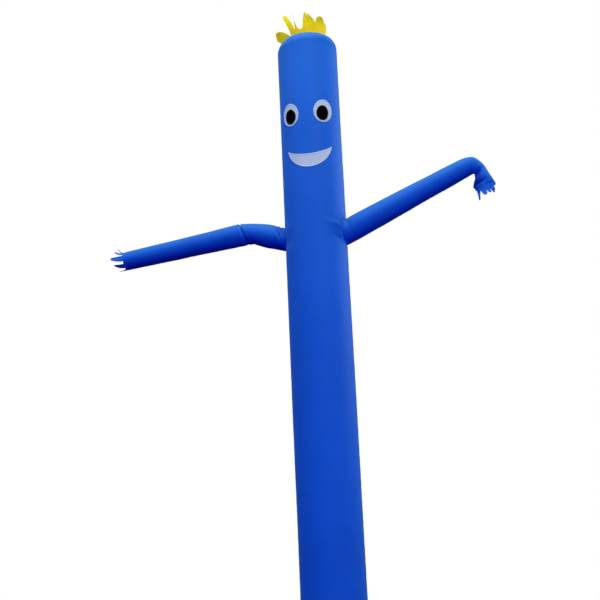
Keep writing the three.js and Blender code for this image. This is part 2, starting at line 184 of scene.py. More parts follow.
ripstop = Values(
    pitch=0.006,  # the woven-in squares
    rib=0.0007,  # half width of a rib
    yarn=2600,  # scale of the plain weave's unevenness
    patch=2.2,  # scale of the soft colour drift
    ribShare=0.25,  # how far a rib takes the paler colour, which is this much lighter there
    ribLighter=1.35,
    driftRough=0.12,  # how far the drift and the yarn change the roughness
    yarnRough=0.08,
    ribRise=0.5,
    yarnRise=0.35,
    bump=0.0005,
)


def newMaterial(name):
    material = bpy.data.materials.new(name)
    material.use_nodes = True
    return material, Board(material.node_tree)


def clothFinish(
        name, deep, pale, roughness, shine, sheen, sheenTint, root=None, through=0.0, glow=0.0):
    material, board = newMaterial(name)
    alongCloth = board.node("UVMap", {"uv_map": "cloth"})
    across, along, _ = board.split(alongCloth)
    halfPitch = ripstop.pitch / 2
    ribs = [board.fade(line.swing(halfPitch), ripstop.rib, 0) for line in (across, along)]
    rib = ribs[0].most(ribs[1])
    drift = board.noise(board.objectPlace(), ripstop.patch, 2)
    yarn = board.noise(alongCloth, ripstop.yarn, 1)
    colour = board.mix(board.fade(drift, 0.3, 0.7), deep, pale)
    if root is not None:  # strips are warmer near their roots
        colour = board.mix(board.fade(along, root.reach, 0), colour, root.colour)
    ribColour = [min(1, ripstop.ribLighter * part) for part in pale]
    colour = board.mix(rib * ripstop.ribShare, colour, ribColour)
    rough = roughness + ripstop.driftRough * (drift - 0.5) + ripstop.yarnRough * (yarn - 0.5)
    height = rib * ripstop.ribRise + yarn * ripstop.yarnRise
    bump = board.node("Bump", {}, {"Strength": 0.5, "Distance": ripstop.bump, "Height": height})
    # a glow above 0 makes the cloth send out its own colour: painted light, as the cloth is no lamp
    shader = board.node("BsdfPrincipled", {}, {
        "Base Color": colour, "Roughness": rough, "Normal": bump,
        "Sheen Weight": sheen, "Sheen Roughness": 0.4, "Sheen Tint": (*sheenTint, 1),
        "Specular IOR Level": shine, "Emission Color": colour, "Emission Strength": glow,
    })
    if through:  # light comes through the thin cloth
        back = board.node("BsdfTranslucent", {}, {"Color": colour})
        shader = board.node("MixShader", {}, {0: through, 1: shader, 2: back})
    board.node("OutputMaterial", {}, {"Surface": shader})
    material.diffuse_color = (*pale, 1)
    return material


threadTwist = Values(scale=1500, dark=0.6, bump=0.0003)


def threadFinish(name, colour):
    material, board = newMaterial(name)
    twist = board.noise(board.objectPlace(), threadTwist.scale, 1)
    shade = board.mix(twist, [threadTwist.dark * part for part in colour], colour)
    bump = board.node("Bump", {}, {"Strength": 0.4, "Distance": threadTwist.bump, "Height": twist})
    shader = board.node("BsdfPrincipled", {}, {
        "Base Color": shade, "Normal": bump, "Roughness": 0.6, "Specular IOR Level": 0.1,
    })
    board.node("OutputMaterial", {}, {"Surface": shader})
    return material


blueRipstop = clothFinish(
    "blueRipstop", (0.0040, 0.088, 0.62), (0.0060, 0.102, 0.68), 0.6, 0.1, 0.3, (0.27, 0.66, 0.8))
whiteRipstop = clothFinish(
    "whiteRipstop", (0.45, 0.465, 0.72), (0.49, 0.50, 0.78), 0.6, 0.1, 0.0, (1, 1, 1))
blackRipstop = clothFinish(
    "blackRipstop", (0.0003, 0.0002, 0.0015), (0.0006, 0.0004, 0.0020), 0.6, 0.01, 0.0, (1, 1, 1))
# the yellow cloth's glow of 0.19 is painted light that brightens the hair
yellowRipstop = clothFinish(
    "yellowRipstop", (0.88, 0.72, 0.012), (0.96, 0.84, 0.018), 0.6, 0.1, 0.4, (1, 0.95, 0.2),
    root=Values(reach=0.05, colour=(0.92, 0.66, 0.014)), through=0.3, glow=0.19)
blueThread = threadFinish("blueThread", (0.008, 0.06, 0.42))
whiteThread = threadFinish("whiteThread", (0.55, 0.62, 1.0))
blackThread = threadFinish("blackThread", (0.002, 0.002, 0.004))
print("finishes made")


# meshes

def gridMesh(name, rows, lengthsOf, closed=False, flip=False):
    # one skin through rows of points; lengthsOf gives a grid place's lengths along the cloth
    shape = bmesh.new()
    lengths = shape.loops.layers.uv.new("cloth")
    knots = [[shape.verts.new(point) for point in row] for row in rows]
    columns = len(rows[0])
    for row in range(len(rows) - 1):
        for column in range(columns if closed else columns - 1):
            corners = [(row, column), (row, column + 1), (row + 1, column + 1), (row + 1, column)]
            if flip:
                corners.reverse()
            face = shape.faces.new([knots[r][c % columns] for r, c in corners])
            face.smooth = True
            for loop, corner in zip(face.loops, corners):
                loop[lengths].uv = lengthsOf(*corner)
    return meshObject(name, shape)


def tubeMesh(name, rows, girth, up, flip=False):  # closed round, with its lengths round and up
    across = girth / len(rows[0])
    return gridMesh(name, rows, lambda row, column: (column * across, up[row]), closed=True, flip=flip)


def meshObject(name, shape):
    mesh = bpy.data.meshes.new(name)
    shape.to_mesh(mesh)
    shape.free()
    piece = bpy.data.objects.new(name, mesh)
    bpy.context.scene.collection.objects.link(piece)
    return piece


def weld(piece, reach):  # points that lie together become one
    shape = bmesh.new()
    shape.from_mesh(piece.data)
    bmesh.ops.remove_doubles(shape, verts=shape.verts, dist=reach)
    shape.to_mesh(piece.data)
    shape.free()


def applyAll(piece):
    bpy.ops.object.select_all(action="DESELECT")
    bpy.context.view_layer.objects.active = piece
    piece.select_set(True)
    for modifier in list(piece.modifiers):
        bpy.ops.object.modifier_apply(modifier=modifier.name)
    piece.select_set(False)


def thicken(piece, thickness):  # the wall grows inwards from the outer skin
    wall = piece.modifiers.new("wall", "SOLIDIFY")
    wall.thickness = thickness
    wall.offset = -1
    applyAll(piece)
    piece.data.set_sharp_from_angle(angle=radians(48))


def join(name, pieces):
    bpy.ops.object.select_all(action="DESELECT")
    for piece in pieces:
        piece.select_set(True)
    bpy.context.view_layer.objects.active = pieces[0]
    bpy.ops.object.join()
    pieces[0].name = name
    pieces[0].select_set(False)
    return pieces[0]


def bind(piece, node=None):
    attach(piece, "root")
    if node is not None:
        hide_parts(node)
    return piece


def finishPiece(piece, material, node=None):
    piece.data.materials.clear()
    piece.data.materials.append(material)
    return bind(piece, node)


# stitches: short raised thread ends that dip back into the cloth

thread = Values(
    stitch=0.0055, gap=0.0022, width=0.0011, rise=0.0007,
    tipSink=0.4,  # how far the ends and the underside lie in the cloth, as shares of the rise
    underSink=0.3,
    shoulders=(0.25, 0.75),  # where along a stitch it is at its full width
)


def addStitch(shape, start, end, out):
    along = (end - start).normalized()
    side = along.cross(out).normalized() * thread.width / 2
    lift = out.normalized() * thread.rise
    tips = [shape.verts.new(place - lift * thread.tipSink) for place in (start, end)]
    rings = []
    for share in thread.shoulders:
        middle = start.lerp(end, share)
        under = middle - lift * thread.underSink
        corners = [middle + lift, middle + side, under, middle - side]
        rings.append([shape.verts.new(corner) for corner in corners])
    for number in range(4):
        following = (number + 1) % 4
        shape.faces.new((rings[0][number], rings[1][number], rings[1][following], rings[0][following]))
        shape.faces.new((tips[0], rings[0][number], rings[0][following]))
        shape.faces.new((tips[1], rings[1][following], rings[1][number]))


def stitchPath(shape, path):
    # path is a list of places and the cloth's outward directions there, a few mm apart
    stride = thread.stitch + thread.gap
    travelled = 0.0
    nextStart = thread.gap
    start = None
    for (place, out), (following, _) in zip(path, path[1:]):
        span = (following - place).length
        while span > 0 and nextStart <= travelled + span:
            point = place.lerp(following, (nextStart - travelled) / span)
            if start is None:
                start = (point, out)
                nextStart += thread.stitch
            else:
                addStitch(shape, start[0], point, start[1])
                start = None
                nextStart += stride - thread.stitch
        travelled += span


# sleeves: rows of reach from the tube's middle, height, lean of the section's top away from
# the trunk, half height, half depth, hang back and twist; creases sit by reach, height and place
# around (0 at a section's top, 90 in front), and ringed ones run beside the root seam

creaseColumns = ("reach", "height", "around", "length", "turn", "depth")
ringedColumns = ("away", "around", "width", "turn", "slant", "depth")

rightSleeve = Values(
    side=1,
    rows=[
        (0.150, 4.281, -24, 0.092, 0.092, 0, 0),
        (0.237, 4.320, -24, 0.092, 0.092, 0, 0),
        (0.289, 4.343, -24, 0.092, 0.092, 0, 0),
        (0.431, 4.408, -24, 0.090, 0.090, 0, 0),
        (0.624, 4.495, -24, 0.086, 0.086, 0, 0),
        (0.818, 4.582, -24, 0.080, 0.081, 0, 0),
        (1.011, 4.667, -25, 0.076, 0.078, 0, 0),
        (1.131, 4.721, -27, 0.072, 0.074, 0, 0),
        (1.183, 4.739, -11, 0.067, 0.070, 0, 0),
        (1.213, 4.740, 3, 0.063, 0.066, 0.002, 4),
        (1.234, 4.728, 21, 0.059, 0.062, 0.007, 16),
        (1.249, 4.702, 41, 0.060, 0.055, 0.016, 30),
        (1.256, 4.673, 54, 0.070, 0.047, 0.024, 38),
        (1.262, 4.630, 67, 0.085, 0.038, 0.026, 40),
        (1.270, 4.600, 82, 0.093, 0.031, 0.018, 36),
        (1.287, 4.570, 89, 0.088, 0.026, 0.008, 30),
    ],
    creases=named(creaseColumns, [
        (0.262, 4.332, 60, 0.011, 40, 0.005),
        (1.236, 4.723, 95, 0.012, 75, 0.020),
        (1.255, 4.690, 100, 0.024, 60, 0.032),
        (1.272, 4.605, 105, 0.012, 60, 0.014),
        (1.288, 4.570, 55, 0.020, 22, 0.009),
        (1.262, 4.652, 270, 0.020, 50, 0.009),
    ]),
    ringed=named(ringedColumns, [
        (0.030, 35, 0.007, 22, 0.006, 0.004),
        (0.022, 150, 0.008, 30, -0.004, 0.003),
    ]),
)

leftUpperSleeve = Values(
    side=-1,
    rows=[
        (0.150, 4.281, -17, 0.086, 0.086, 0, 0),
        (0.235, 4.309, -17, 0.086, 0.086, 0, 0),
        (0.300, 4.331, -14, 0.088, 0.087, 0, 0),
        (0.370, 4.352, -8, 0.090, 0.087, 0, 0),
        (0.440, 4.370, 2, 0.086, 0.085, 0, 0),
        (0.486, 4.379, 15, 0.087, 0.084, 0, 0),
        (0.524, 4.385, 27, 0.091, 0.083, 0, 0),
        (0.549, 4.386, 18, 0.088, 0.082, 0, 0),
    ],
    creases=named(creaseColumns, [
        (0.268, 4.317, 265, 0.009, 45, 0.004),
    ]),
    ringed=named(ringedColumns, [
        (0.020, 50, 0.007, 42, -0.030, 0.020),
        (0.044, 60, 0.007, 38, -0.038, 0.021),
        (0.068, 76, 0.008, 32, -0.044, 0.017),
    ]),
)

leftForeSleeve = Values(
    side=-1,
    rows=[
        (0.549, 4.386, 18, 0.088, 0.082, 0, 0),
        (0.595, 4.381, 14, 0.087, 0.083, 0, 0),
        (0.650, 4.374, 9, 0.085, 0.083, 0, 0),
        (0.765, 4.359, 8, 0.082, 0.081, 0, 0),
        (0.962, 4.334, 7, 0.078, 0.078, 0, 0),
        (1.229, 4.301, 7, 0.075, 0.075, 0, 0),
        (1.440, 4.275, 7, 0.072, 0.072, 0, 0),
        (1.485, 4.269, 7, 0.069, 0.069, 0, 0),
    ],
    creases=[],
    ringed=[],
)


def blend(before, start, end, after, share):  # a smooth curve through four neighbouring values
    slopeStart, slopeEnd = (end - before) / 2, (after - start) / 2
    square, cube = share ** 2, share ** 3
    values = (2 * cube - 3 * square + 1) * start + (3 * square - 2 * cube) * end
    return values + (cube - 2 * square + share) * slopeStart + (cube - square) * slopeEnd


def rowAt(sleeve, turn):  # turn counts rows, whole and part
    rows = sleeve.rows
    first = min(int(turn), len(rows) - 2)
    near = [rows[min(max(number, 0), len(rows) - 1)] for number in range(first - 1, first + 3)]
    return [blend(*values, turn - first) for values in zip(*near)]


def measure(sleeve):  # lengths along the sleeve's middle line, against row numbers
    track, length = [(0.0, 0.0)], 0.0
    last = Vector(rowAt(sleeve, 0)[:2])
    for number in range(1, 20 * (len(sleeve.rows) - 1) + 1):
        place = Vector(rowAt(sleeve, number / 20)[:2])
        length += (place - last).length
        track.append((length, number / 20))
        last = place
    sleeve.track = track
    sleeve.length = length


def sectionAt(sleeve, along):
    track = sleeve.track
    low, high = 0, len(track) - 1
    while high - low > 1:
        middle = (low + high) // 2
        if track[middle][0] <= along:
            low = middle
        else:
            high = middle
    (startLength, startTurn), (endLength, endTurn) = track[low], track[high]
    share = (along - startLength) / (endLength - startLength)
    return rowAt(sleeve, startTurn + (endTurn - startTurn) * share)


def sleevePoint(sleeve, section, turn, inset=0.0):
    reach, height, lean, tall, deep, back, twist = section
    place = radians(turn)
    across, out = (tall - inset) * cos(place), (deep - inset) * sin(place)
    twisted = radians(twist)
    rise = across * cos(twisted) - out * sin(twisted)
    push = across * sin(twisted) + out * cos(twisted)
    slope = radians(lean)
    x = axisX + sleeve.side * (reach + rise * sin(slope))
    return Vector((x, back - push, height + rise * cos(slope)))


for sleeve in (rightSleeve, leftUpperSleeve, leftForeSleeve):
    measure(sleeve)


# trunk

trunkPanel = Values(
    thickness=0.0012,
    rowSpacing=0.012,
    hemHeight=0.058,
    hemLayer=0.0016,  # how far inside the turned-up layer's face lies
    flange=0.010,  # seam allowance turned in at the sides and top
    seamDip=0.0032,
    seamWidth=0.005,
    pucker=0.0017,
    puckerReach=0.045,
    swell=0.0016,
)

# soft folds where the arms pull; length runs round the tube, turned by slope, and a negative
# depth is a ridge
foldColumns = ("angle", "height", "slope", "length", "width", "depth")
trunkFolds = named(foldColumns, [
    (58, 4.236, -14, 0.058, 0.022, 0.011),
    (50, 4.338, -6, 0.072, 0.022, -0.007),
    (-60, 4.225, 20, 0.060, 0.026, 0.005),
    (-52, 4.345, 8, 0.060, 0.034, -0.003),
    (128, 4.235, 15, 0.080, 0.030, 0.007),
    (-126, 4.230, -16, 0.070, 0.032, 0.007),
    (64, 4.303, -28, 0.024, 0.008, 0.004),
    (67, 4.407, -40, 0.022, 0.008, 0.004),
    (74, 4.428, -62, 0.020, 0.007, -0.002),
    (59, 4.262, -18, 0.030, 0.009, 0.003),
    (66, 4.225, 12, 0.026, 0.009, -0.002),
    (-67, 4.360, 34, 0.022, 0.009, 0.003),
    (-66, 4.258, -10, 0.026, 0.009, 0.003),
    (-40, 2.332, 2, 0.070, 0.012, 0.0018),
    (61, 3.432, -20, 0.040, 0.014, 0.0016),
    (68, 3.215, 12, 0.040, 0.012, 0.0018),
    (-60, 3.163, -14, 0.045, 0.014, 0.0016),
    (59, 2.822, 16, 0.045, 0.014, 0.0015),
    (80, 3.692, 10, 0.030, 0.010, 0.0018),
])

farOff = 0.4  # no fold or root is felt this far up or down the trunk

# where a sleeve leaves the trunk: the first rows give its middle line and lean
rootDip = Values(depth=0.003, width=0.006)
roots = named(("sleeve", "pucker", "reach"), [
    (rightSleeve, 0.0030, 0.030),
    (leftUpperSleeve, 0.0026, 0.028),
])


def rootPlace(sleeve, place):
    # how far a place on the trunk lies outside the sleeve's root, and where round it
    reach, height, lean, tall, deep = sleeve.rows[1][:5]
    slope = radians(lean)
    x = sleeve.side * (place.x - axisX) - reach
    rise = x * sin(slope) + (place.z - height) * cos(slope)
    spread = hypot(rise / tall, place.y / deep)
    return (spread - 1) * tall, degrees(atan2(-place.y, rise))


def foldDepth(angle, height):
    depth = 0.0
    for fold in trunkFolds:
        rise = height - fold.height
        if abs(rise) > farOff:
            continue
        round_ = radians(turnBetween(fold.angle, angle)) * tubeRadius
        slope = radians(fold.slope)
        along = round_ * cos(slope) + rise * sin(slope)
        across = rise * cos(slope) - round_ * sin(slope)
        depth += fold.depth * bell(along / fold.length, across / fold.width)
    return depth


def rootDepth(place):
    depth = 0.0
    for root in roots:
        sleeve = root.sleeve
        rise, aside = place.z - sleeve.rows[1][1], sleeve.side * (place.x - axisX)
        if abs(rise) > farOff or aside < 0:
            continue
        away, turn = rootPlace(sleeve, place)
        pull = root.pucker * ruffle(ringPlace(turn), 6.5, 3 + sleeve.side)
        depth += rootDip.depth * bell(away / rootDip.width) + pull * bell(away / root.reach)
    return depth


def trunkDepth(angle, height):  # how far the cloth sinks below a true tube
    place = onTube(angle, tubeRadius, height)
    side = 90 if angle % 360 < 180 else -90
    fromSeam = radians(abs(turnBetween(side, angle))) * tubeRadius
    panel = trunkPanel
    depth = panel.seamDip * bell(fromSeam / panel.seamWidth)
    pull = ruffle((place.z * 34, fromSeam * 16, side), 1, 11)
    pull += 0.5 * ruffle((place.z * 85, fromSeam * 20, side), 1, 5)
    depth += panel.pucker * pull * bell(fromSeam / panel.puckerReach)
    depth += panel.swell * ruffle(place * 2.4 + Vector((0, 0, place.z * -1.4)), 1, 7)
    return depth + foldDepth(angle, height) + rootDepth(place)


def trunkPoint(angle, height, lift=0.0):
    return onTube(angle, tubeRadius - trunkDepth(angle, height) + lift, height)


def panelColumns():
    # places across half a panel, close together beside the seam, with the seam allowance
    edge = seamGap / 2
    beside = [edge, 0.002, 0.004, 0.007, 0.011, 0.016, 0.022, 0.029, 0.037, 0.046, 0.056]
    middle = tubeRadius * pi / 2
    half = beside + steps(beside[-1], middle, 0.015)[1:]
    return half + [2 * middle - place for place in half[-2::-1]]


def panelRows():
    # heights and insets from the turned-up hem layer's edge, round the fold and up
    panel = trunkPanel
    layer = panel.hemLayer
    heights = steps(panel.hemHeight, 0.004, 0.014)
    inside = [(height, layer + panel.thickness) for height in heights]
    fold = [(0.0024, layer), (0.0012, layer / 2), (0.0024, 0.0002)]
    return inside + fold + [(height, 0.0) for height in steps(0.006, trunkTop, panel.rowSpacing)]


def makePanel(name, node, middleAngle):
    panel = trunkPanel
    columns, rows = panelColumns(), panelRows()
    quarter = 90.0  # each panel reaches a quarter turn to either side of its middle
    points = []
    for height, inset in rows:
        row = []
        for place in columns:
            angle = middleAngle - quarter + degrees(place / tubeRadius)
            row.append(trunkPoint(angle, height, -inset))
        ends = [middleAngle - quarter, middleAngle + quarter]
        for end, knot in zip(ends, (row[0], row[-1])):
            inwards = onTube(end, -1, 0) - onTube(end, 0, 0)
            turned = [knot + inwards * panel.flange * share for share in (0.5, 1)]
            row = turned[::-1] + row if end == ends[0] else row + turned
        points.append(row)
    top = points[-1]
    middle = Vector((axisX, 0, trunkTop))
    for share in (0.5, 1):
        points.append([knot + (middle - knot).normalized() * panel.flange * share for knot in top])
    across = [-panel.flange, -panel.flange / 2, *columns]
    across += [columns[-1] + panel.flange / 2, columns[-1] + panel.flange]
    up = [-height for height, inset in rows if inset > panel.hemLayer]
    up += [height for height, inset in rows if inset <= panel.hemLayer]
    up += [trunkTop + panel.flange / 2, trunkTop + panel.flange]
    piece = gridMesh(name, points, lambda row, column: (across[column], up[row]))
    thicken(piece, panel.thickness)
    for sleeve in (rightSleeve, leftUpperSleeve):
        cutHole(piece, sleeve)
    finishPiece(piece, blueRipstop, node)
    return piece


def cutHole(piece, sleeve):  # the air's way into a sleeve, a little narrower than its bore
    lip = 0.0045
    sections = sleeve.rows[:3]
    rows = [[sleevePoint(sleeve, section, turn, lip) for turn in ringOf(48)] for section in sections]
    cutter = gridMesh("cutter", rows, lambda row, column: (0, 0), closed=True)
    shape = bmesh.new()
    shape.from_mesh(cutter.data)
    bmesh.ops.holes_fill(shape, edges=[edge for edge in shape.edges if edge.is_boundary])
    bmesh.ops.recalc_face_normals(shape, faces=shape.faces)
    shape.to_mesh(cutter.data)
    shape.free()
    hole = piece.modifiers.new("hole", "BOOLEAN")
    hole.object = cutter
    hole.operation = "DIFFERENCE"
    hole.solver = "EXACT"
    applyAll(piece)
    bpy.data.objects.remove(cutter)


trunkFront = makePanel("trunkFront", "trunk_front", 0)
trunkBack = makePanel("trunkBack", "trunk_back", 180)
print("trunk sewn,", len(trunkFront.data.polygons) + len(trunkBack.data.polygons), "faces")


# crown: closes in from the tube's width to the vent, gathered a little round it

crownCap = Values(
    thickness=0.0012,
    vent=0.124,
    shift=0.012,  # the vent lies a little towards +x
    fullness=0.92,
    rise=0.170,  # the cloth's length from the seam to the vent
    sides=120,
    steps=22,
    seamDip=0.0004,
    gather=0.0014,
    swell=0.0016,
    flange=0.010,
)
crownRise = crownHigh.z - crownLow.z


def crownPoint(angle, share):
    values = crownCap
    turn = share * pi / 2
    closing, rising = (max(0, part) ** values.fullness for part in (cos(turn), sin(turn)))
    radius = values.vent + (tubeRadius - values.vent) * closing
    place = onTube(angle, radius, crownLow.z + crownRise * rising)
    place.x += values.shift * sin(turn)
    out = onTube(angle, cos(turn), 0) - onTube(angle, 0, 0) + Vector((0, 0, sin(turn)))
    seam = values.seamDip * bell(share * values.rise / trunkPanel.seamWidth)
    gather = values.gather * ruffle(ringPlace(angle), 5.5, 2) * share
    swell = values.swell * ruffle(place, 9, 4) * sin(pi * share)
    return place - out * (seam + gather + swell)


def makeCrown():
    values = crownCap
    shares = sharesOf(values.steps)
    rows = [[crownPoint(angle, share) for angle in ringOf(values.sides)] for share in shares]
    middle = Vector((axisX, 0, crownLow.z))
    turned = [[k + (middle - k).normalized() * values.flange * s for k in rows[0]] for s in (1, 0.5)]
    rows = turned + rows
    up = [-values.flange, -values.flange / 2, *(values.rise * share for share in shares)]
    piece = tubeMesh("crownCap", rows, 2 * pi * tubeRadius, up)
    thicken(piece, values.thickness)
    finishPiece(piece, blueRipstop, "crown")
    return piece


makeCrown()
print("crown made")


# sleeve walls

sleeveWall = Values(
    thickness=0.0011,
    sides=84,
    rowSpacing=0.008,
    seamAround=200,  # the lengthwise seam runs under the arm, a little behind
    seamDip=0.0022,
    seamWidth=0.004,
    pucker=0.0013,
    puckerReach=0.035,
    swell=0.0012,
    edgeReach=0.026,  # how far the puckers beside the root and elbow seams run
    rootDip=0.0035,
    rootWidth=0.006,
    rootPucker=0.0030,
    elbowDip=0.0180,
    elbowWide=0.0090,  # the fore sleeve's side slopes, the upper sleeve's side is steep
    elbowSteep=0.0030,
    elbowPucker=0.0032,
    elbowDeepest=70,  # the place around where the elbow's groove is deepest
)


def creaseDepth(sleeve, section, turn, away):
    depth = 0.0
    for crease in sleeve.creases:
        distance = hypot(section[0] - crease.reach, section[1] - crease.height)
        aside = turnBetween(crease.around, turn)
        depth += crease.depth * bell(distance / crease.length, aside / crease.turn)
    for crease in sleeve.ringed:
        aside = turnBetween(crease.around, turn)
        middle = crease.away + crease.slant * aside / 90
        depth += crease.depth * bell((away - middle) / crease.width, aside / crease.turn)
    return depth


def rippleDepth(sleeve, section, turn, along):
    values = sleeveWall
    fromSeam = abs(radians(turnBetween(values.seamAround, turn))) * section[3]
    seed = sleeve.side * 3
    pull = ruffle((along * 40, fromSeam * 18, 0), 1, 21 + seed)
    pull *= bell(fromSeam / values.puckerReach)
    depth = values.seamDip * bell(fromSeam / values.seamWidth) + values.pucker * pull
    return depth + values.swell * ruffle(ringPlace(turn, along * 5), 1.3, 31 + seed)


def edgeDepth(turn, away, dip, width, pucker, seed):  # the dip and puckers beside a ring seam
    place = ringPlace(turn, away * 6)
    fine = ruffle(place, 5, seed) + 0.5 * ruffle(place, 11, seed + 1)
    return dip * bell(away / width) + pucker * fine * bell(away / sleeveWall.edgeReach)


def rootAlong(sleeve, turn):
    # the length along the sleeve at which one of its lines comes out of the trunk
    low, high = 0.0, sleeve.track[40][0]
    for _ in range(22):
        middle = (low + high) / 2
        point = sleevePoint(sleeve, sectionAt(sleeve, middle), turn)
        angle = degrees(atan2(point.x - axisX, -point.y))
        surface = tubeRadius - trunkDepth(angle, point.z) + seamGap
        if hypot(point.x - axisX, point.y) < surface:
            low = middle
        else:
            high = middle
    return high


def makeSleeve(name, node, sleeve, start, end):
    # start and end say what each end is: root, elbow or open
    values = sleeveWall
    ring = ringOf(values.sides)
    gap = seamGap / 2 if start == "elbow" else 0
    starts = [rootAlong(sleeve, turn) if start == "root" else gap for turn in ring]
    last = sleeve.length - (seamGap / 2 if end == "elbow" else 0)
    count = round((last - min(starts)) / values.rowSpacing)
    shares = [0, 0.25 / count, 0.6 / count] + [number / count for number in range(1, count)]
    shares += [1 - 0.6 / count, 1 - 0.25 / count, 1] if end == "elbow" else [1]
    rows = []
    for share in shares:
        row = []
        for turn, first in zip(ring, starts):
            along = first + (last - first) * share
            section = sectionAt(sleeve, along)
            inset = creaseDepth(sleeve, section, turn, along - first)
            inset += rippleDepth(sleeve, section, turn, along)
            if start == "root":
                away = along - first
                dip, width, pucker = values.rootDip, values.rootWidth, values.rootPucker
                inset += edgeDepth(turn, away, dip, width, pucker, 41)
            if "elbow" in (start, end):
                away = last - along if end == "elbow" else along - first
                facing = cos(radians(turnBetween(values.elbowDeepest, turn)))
                shade = 0.55 + 0.45 * facing
                dip, pucker = values.elbowDip * shade, values.elbowPucker * shade
                width = values.elbowSteep if end == "elbow" else values.elbowWide
                inset += edgeDepth(turn, away, dip, width, pucker, 51)
            row.append(sleevePoint(sleeve, section, turn, inset))
        rows.append(row)
    length = last - min(starts)
    up = [share * length for share in shares]
    piece = tubeMesh(name, rows, 2 * pi * sleeve.rows[0][3], up, flip=sleeve.side < 0)
    thicken(piece, values.thickness)
    finishPiece(piece, blueRipstop, node)
    return piece


makeSleeve("rightSleeve", "sleeve_right", rightSleeve, "root", "open")
makeSleeve("leftUpperSleeve", "sleeve_left_upper", leftUpperSleeve, "root", "elbow")
makeSleeve("leftForeSleeve", "sleeve_left_fore", leftForeSleeve, "elbow", "open")
print("sleeves made")


# cut strips: around is the place on the band and length runs straight out; seen from outside
# with the root down, sway bends the tip right, flop bends it towards the viewer and twist
# turns it, while belly widens or narrows the middle and cup hollows the strip's width

stripWall = Values(
    thickness=0.0011,
    rows=18,
    columns=8,
    root=0.0005,  # how far a strip's root is sunk into its band
    ragged=0.03,
    wave=0.002,
    rounded=0.9,  # past this share of its length a strip's tip narrows
)
fingerBand = Values(height=0.012, sides=72, swell=0.0008)
hairBand = Values(height=0.050, flare=0.014, sides=108, rows=6, gather=0.0016)
stripColumns = ("around", "width", "belly", "tip", "length", "sway", "flop", "twist", "cup")


rightFingers = named(stripColumns, [
    (122, 0.058, -0.014, 0.026, 0.094, -0.004, 0.003, 20, 0.3),
    (95, 0.044, 0.008, 0.022, 0.072, -0.034, 0.009, -10, 0.4),
    (70, 0.034, 0.003, 0.015, 0.062, -0.026, 0.003, -15, 0.4),
    (44, 0.038, 0.006, 0.022, 0.056, -0.020, 0.005, 20, 0.4),
    (300, 0.034, 0.002, 0.012, 0.048, 0.014, 0.005, 10, 0.4),
])
leftFingers = named(stripColumns, [
    (12, 0.030, 0.000, 0.014, 0.040, 0.002, 0.038, 30, 0.4),
    (47, 0.030, -0.003, 0.013, 0.060, 0.026, 0.014, -30, 0.4),
    (86, 0.046, 0.008, 0.020, 0.092, 0.010, 0.008, 10, 0.5),
    (138, 0.038, 0.006, 0.014, 0.070, 0.026, 0.006, -15, 0.4),
    (225, 0.038, 0.004, 0.012, 0.074, -0.010, 0.008, 20, 0.4),
])
hairLocks = named(stripColumns, [
    (-50, 0.064, -0.002, 0.034, 0.150, -0.030, 0.018, 46, 0.3),
    (-30, 0.046, -0.018, 0.010, 0.128, -0.008, -0.004, -40, 0.2),
    (6, 0.062, 0.012, 0.006, 0.128, -0.008, 0.000, 8, 0.5),
    (27, 0.062, 0.008, 0.008, 0.104, -0.052, 0.004, -10, 0.4),
    (53, 0.062, 0.034, 0.034, 0.086, -0.042, 0.012, -20, 0.4),
    (79, 0.062, 0.016, 0.016, 0.058, -0.036, 0.000, -20, 0.4),
    (107, 0.052, 0.006, 0.008, 0.052, -0.010, -0.004, 0, 0.4),
    (136, 0.054, 0.008, 0.007, 0.064, -0.012, 0.014, -20, 0.4),
    (163, 0.054, 0.004, 0.008, 0.092, 0.010, 0.010, 15, 0.4),
    (190, 0.054, 0.008, 0.009, 0.060, -0.014, 0.018, 0, 0.4),
    (217, 0.054, 0.010, 0.012, 0.084, 0.014, 0.028, 25, 0.4),
    (246, 0.058, 0.030, 0.094, 0.092, 0.006, 0.134, 46, 0.2),
    (274, 0.050, 0.002, 0.012, 0.034, -0.006, 0.014, 0, 0.4),
])


def makeStrip(name, root, along, facing, strip, bandRadius, seed):
    values = stripWall
    across = along.cross(facing).normalized()
    rows, widths = [], []
    for share in sharesOf(values.rows):
        bend = share * share
        middle = root + along * strip.length * share + across * strip.sway * bend
        middle += facing * strip.flop * bend
        heading = along * strip.length + across * 2 * strip.sway * share
        heading = (heading + facing * 2 * strip.flop * share).normalized()
        wide = (across - heading * across.dot(heading)).normalized()
        wide = Matrix.Rotation(radians(strip.twist * share), 3, heading) @ wide
        normal = wide.cross(heading)
        belly = 4 * strip.belly * share * (1 - share)
        width = strip.width * (1 - share) + strip.tip * share + belly
        width *= 1 - 0.35 * max(0, share - values.rounded) / 0.1
        row = []
        for column in range(values.columns + 1):
            place = 2 * column / values.columns - 1
            ragged = values.ragged * ruffle((share * 5, place, 0), 1, seed)
            hollow = strip.cup * width / 2 * (1 - place * place) * share * (1.4 - share)
            wave = values.wave * share * ruffle((share * 4, place * 1.5, 0), 1, seed + 2)
            curved = (place * width / 2) ** 2 / (2 * bandRadius) * (1 - share)
            point = middle + wide * width / 2 * (place + ragged) - facing * curved
            row.append(point - normal * (hollow * 0.5 + wave))
        rows.append(row)
        widths.append(width)
    length = strip.length

    def lengthsOf(row, column):
        place = 2 * column / values.columns - 1
        return place * widths[row] / 2, length * row / values.rows

    return gridMesh(name, rows, lengthsOf, flip=True)


def stripArea(rows):
    return sum(s.length * ((s.width + s.tip) / 2 + 0.67 * s.belly) for s in rows)


def joinStrips(name, pieces, material, node):
    piece = join(name, pieces)
    thicken(piece, stripWall.thickness)
    return finishPiece(piece, material, node)


